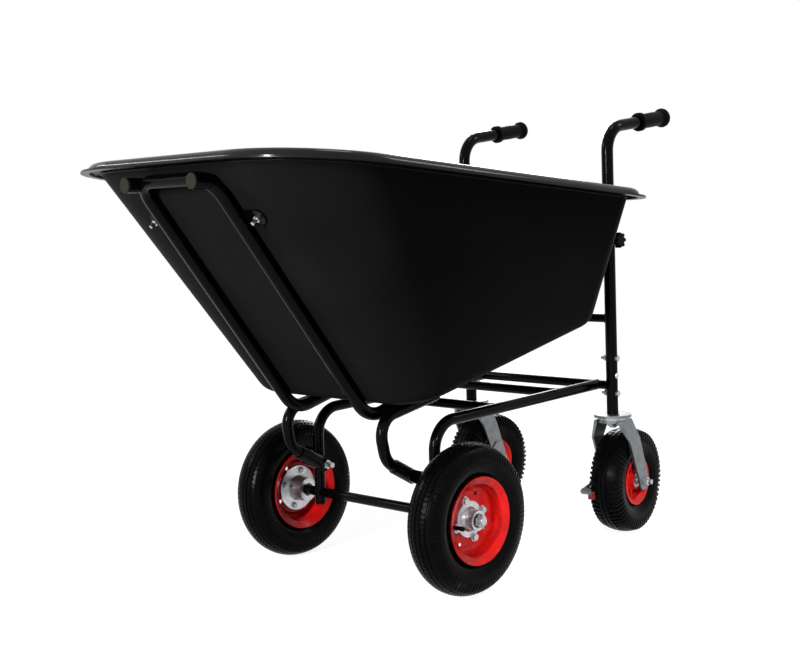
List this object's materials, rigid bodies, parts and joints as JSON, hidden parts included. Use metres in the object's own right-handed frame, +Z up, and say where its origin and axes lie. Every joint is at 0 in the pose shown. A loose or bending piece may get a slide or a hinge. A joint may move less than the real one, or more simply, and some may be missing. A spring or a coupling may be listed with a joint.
{
  "type": "tipping wheelbarrow",
  "caption": "Forward-tipping barrow: deep moulded tub on a tube frame, pneumatic front wheels, braked swivel casters under the handle posts, and star knobs that lock the tub.",
  "frame": {"origin": "centre of the footprint box at ground level", "axes": "+Z up, -Y forward to the tub's nose, +X to the user's left"},
  "size_m": [0.832, 1.3825, 1.0355],
  "materials": {
    "tub_plastic": "satin moulded black",
    "frame_paint": "gloss black powder coat",
    "rim_paint": "gloss red enamel",
    "rim_plastic": "moulded red",
    "tyre_rubber": "matte black rubber",
    "hub_alloy": "machined bare",
    "zinc_steel": "bright zinc plate",
    "zinc_plate": "zinc-plated pressed sheet",
    "bearing_steel": "ground steel",
    "grip_rubber": "matte black moulded",
    "knob_plastic": "matte black moulded",
    "plug_plastic": "matte black moulded",
    "shoe_plastic": "dark red moulded"
  },
  "bodies": {
    "chassis": {"rail_left": "frame_paint", "rail_right": "frame_paint", "cross_tubes": "frame_paint", "cross_tube_rear": "frame_paint", "tray_rest_tube": "frame_paint", "front_axle": "frame_paint", "axle_spacers": "zinc_steel", "axle_nuts": "zinc_steel", "split_pins": "zinc_steel", "pivot_bolts": "zinc_steel", "chassis_nuts": "zinc_steel", "lower_posts": "frame_paint", "post_spigots": "zinc_steel", "handle_post_left": "frame_paint", "handle_post_right": "frame_paint", "hand_grip_left": "grip_rubber", "hand_grip_right": "grip_rubber", "post_bolts": "zinc_steel", "caster_stems": "zinc_plate", "swivel_races": "zinc_steel"},
    "tray": {"tray_tub": "tub_plastic", "tray_hoop": "frame_paint", "nose_stops": "frame_paint", "nose_stop_plugs": "plug_plastic", "hoop_tabs": "frame_paint", "floor_pads": "plug_plastic", "tray_bolts": "zinc_steel", "tray_nuts": "zinc_steel", "tipping_arm_left": "frame_paint", "tipping_arm_right": "frame_paint", "arm_sockets": "frame_paint", "lock_brackets": "frame_paint"},
    "front_wheel_left": {"front_tyre_left": "tyre_rubber", "front_rim_left": "rim_paint", "front_hub_left": "hub_alloy", "front_bearings_left": "bearing_steel", "front_wheel_bolts_left": "zinc_steel"},
    "caster_swivel_left": {"caster_fork_left": "zinc_plate", "caster_axle_left": "zinc_steel"},
    "caster_wheel_left": {"caster_tyre_left": "tyre_rubber", "caster_rim_left": "rim_plastic", "caster_bearings_left": "bearing_steel"},
    "caster_brake_left": {"brake_lever_left": "zinc_plate", "brake_shoe_left": "shoe_plastic"},
    "lock_knob_left": {"lock_knob_left": "knob_plastic", "lock_bolt_left": "zinc_steel"},
    "front_wheel_right": {"front_tyre_right": "tyre_rubber", "front_rim_right": "rim_paint", "front_hub_right": "hub_alloy", "front_bearings_right": "bearing_steel", "front_wheel_bolts_right": "zinc_steel"},
    "caster_swivel_right": {"caster_fork_right": "zinc_plate", "caster_axle_right": "zinc_steel"},
    "caster_wheel_right": {"caster_tyre_right": "tyre_rubber", "caster_rim_right": "rim_plastic", "caster_bearings_right": "bearing_steel"},
    "caster_brake_right": {"brake_lever_right": "zinc_plate", "brake_shoe_right": "shoe_plastic"},
    "lock_knob_right": {"lock_knob_right": "knob_plastic", "lock_bolt_right": "zinc_steel"}
  },
  "joints": [
    {"name": "tray_tip", "type": "hinge", "parent": "chassis", "child": "tray", "pos_m": [0, -0.1433, 0.227], "axis": [1, 0, 0], "range_deg": [0, 60]},
    {"name": "front_wheel_spin_left", "type": "hinge", "parent": "chassis", "child": "front_wheel_left", "pos_m": [0.2716, -0.1433, 0.16], "axis": [1, 0, 0], "continuous": true},
    {"name": "caster_turn_left", "type": "hinge", "parent": "chassis", "child": "caster_swivel_left", "pos_m": [0.226, 0.4437, 0.28], "axis": [0, 0, 1], "continuous": true},
    {"name": "caster_spin_left", "type": "hinge", "parent": "caster_swivel_left", "child": "caster_wheel_left", "pos_m": [0.21869, 0.50325, 0.127], "axis": [0.9925, 0.1219, 0], "continuous": true},
    {"name": "brake_press_left", "type": "hinge", "parent": "caster_swivel_left", "child": "caster_brake_left", "pos_m": [0.16976, 0.47911, 0.176], "axis": [0.9925, 0.1219, 0], "range_deg": [0, 4.5]},
    {"name": "knob_turn_left", "type": "hinge", "parent": "chassis", "child": "lock_knob_left", "pos_m": [0.226, 0.4437, 0.716], "axis": [1, 0, 0], "range_deg": [0, 540]},
    {"name": "front_wheel_spin_right", "type": "hinge", "parent": "chassis", "child": "front_wheel_right", "pos_m": [-0.2716, -0.1433, 0.16], "axis": [1, 0, 0], "continuous": true},
    {"name": "caster_turn_right", "type": "hinge", "parent": "chassis", "child": "caster_swivel_right", "pos_m": [-0.226, 0.4437, 0.28], "axis": [0, 0, 1], "continuous": true},
    {"name": "caster_spin_right", "type": "hinge", "parent": "caster_swivel_right", "child": "caster_wheel_right", "pos_m": [-0.226, 0.5037, 0.127], "axis": [1, 0, 0], "continuous": true},
    {"name": "brake_press_right", "type": "hinge", "parent": "caster_swivel_right", "child": "caster_brake_right", "pos_m": [-0.1745, 0.4857, 0.176], "axis": [1, 0, 0], "range_deg": [0, 4.5]},
    {"name": "knob_turn_right", "type": "hinge", "parent": "chassis", "child": "lock_knob_right", "pos_m": [-0.226, 0.4437, 0.716], "axis": [1, 0, 0], "range_deg": [0, 540]}
  ]
}
